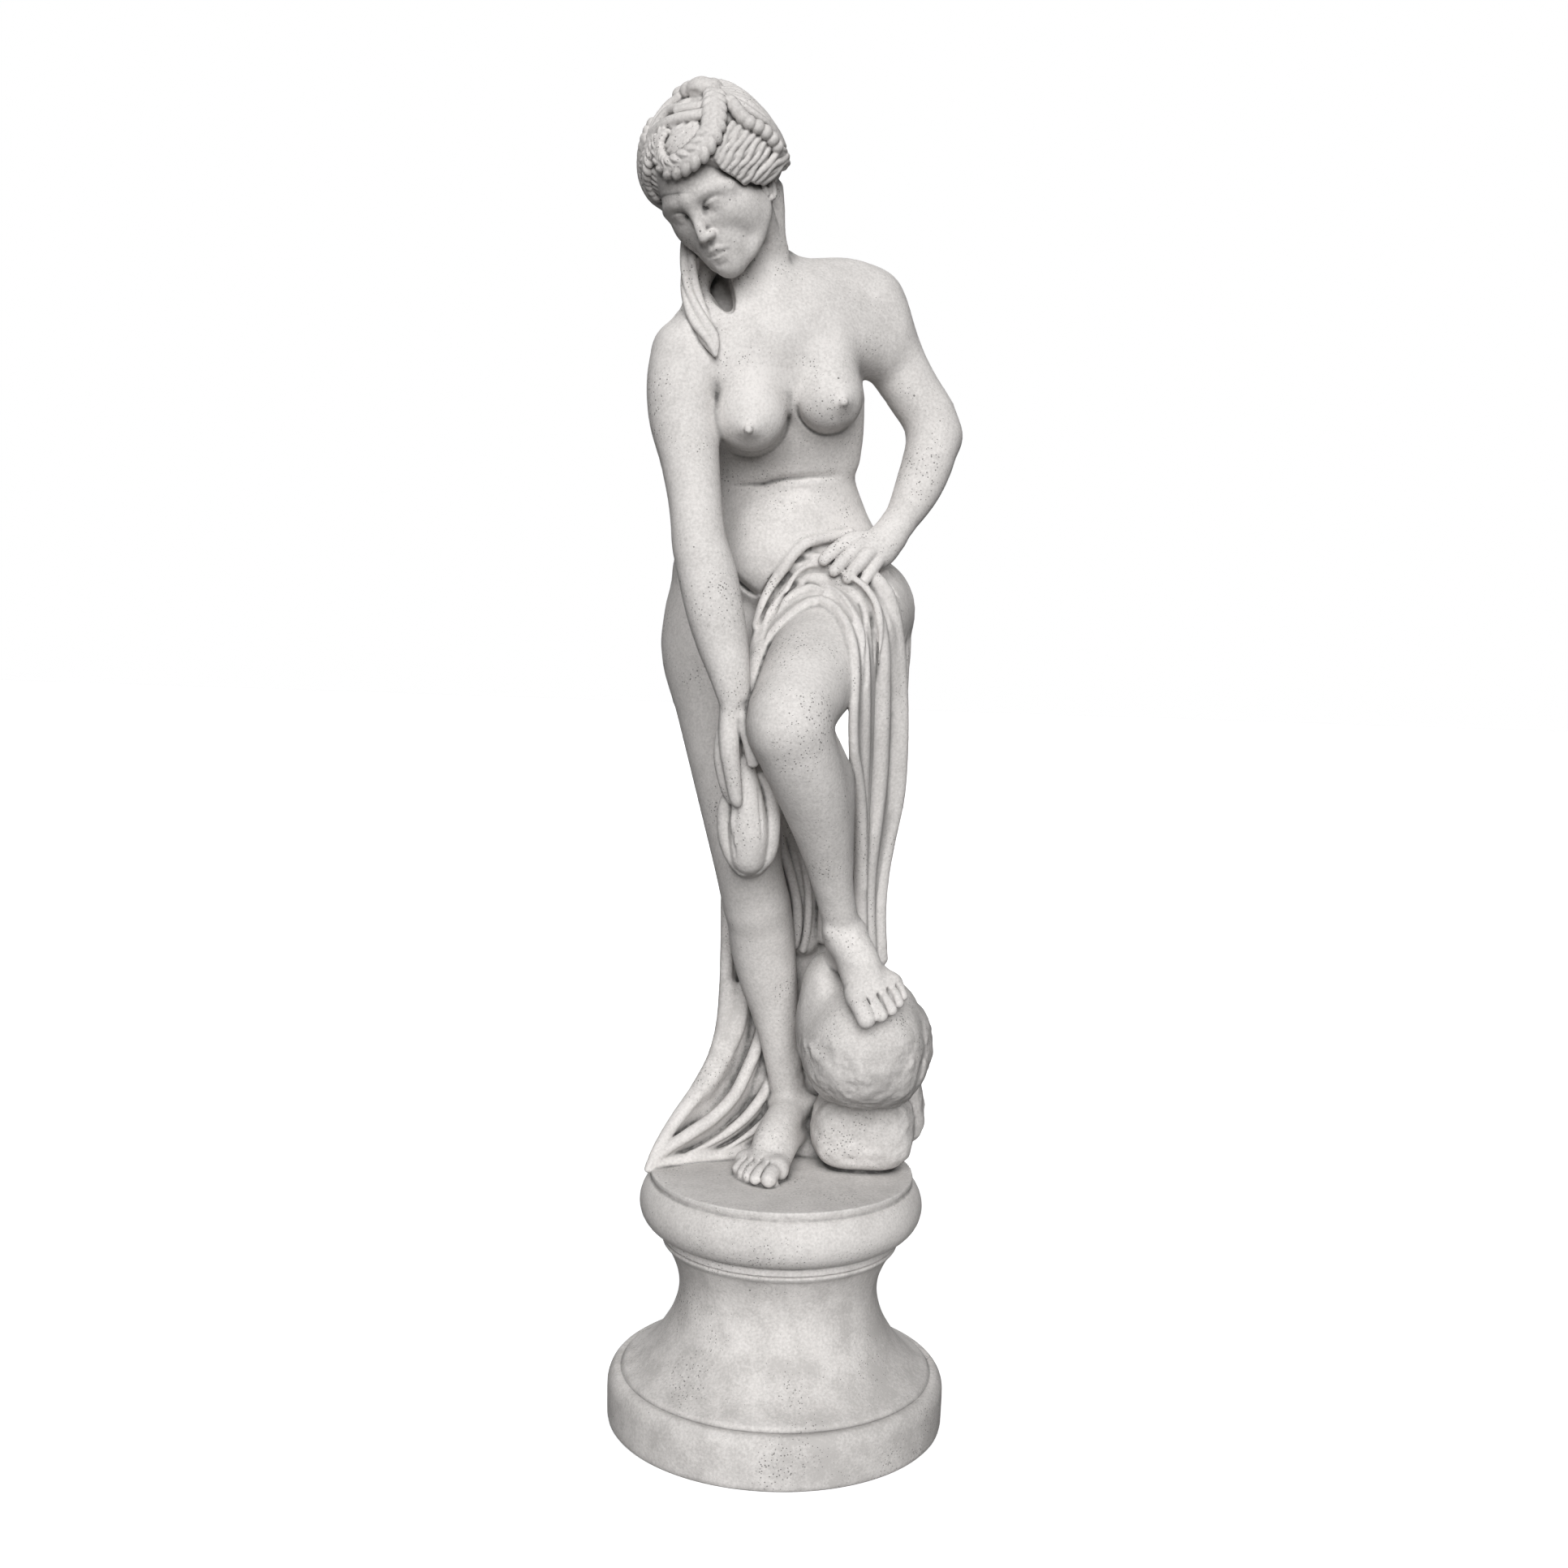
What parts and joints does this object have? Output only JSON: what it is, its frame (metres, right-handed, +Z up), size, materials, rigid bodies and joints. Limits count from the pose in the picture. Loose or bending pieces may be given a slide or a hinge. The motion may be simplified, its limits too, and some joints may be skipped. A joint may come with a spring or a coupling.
{
  "type": "cast stone venus statue",
  "caption": "Garden statue of a standing bather with draped cloth and one foot on a boulder, on a round moulded base and a waisted round pedestal.",
  "frame": {"origin": "middle of the pedestal's flat underside, on the ground", "axes": "+Z up, the figure faces -Y, +X is to her left"},
  "size_m": [0.312, 0.334, 1.1903],
  "materials": {
    "statue_stone": "matt, fine pores",
    "pedestal_stone": "matt, fine pores"
  },
  "bodies": {
    "root": {"venus_statue": "statue_stone", "pedestal": "pedestal_stone"}
  },
  "joints": []
}
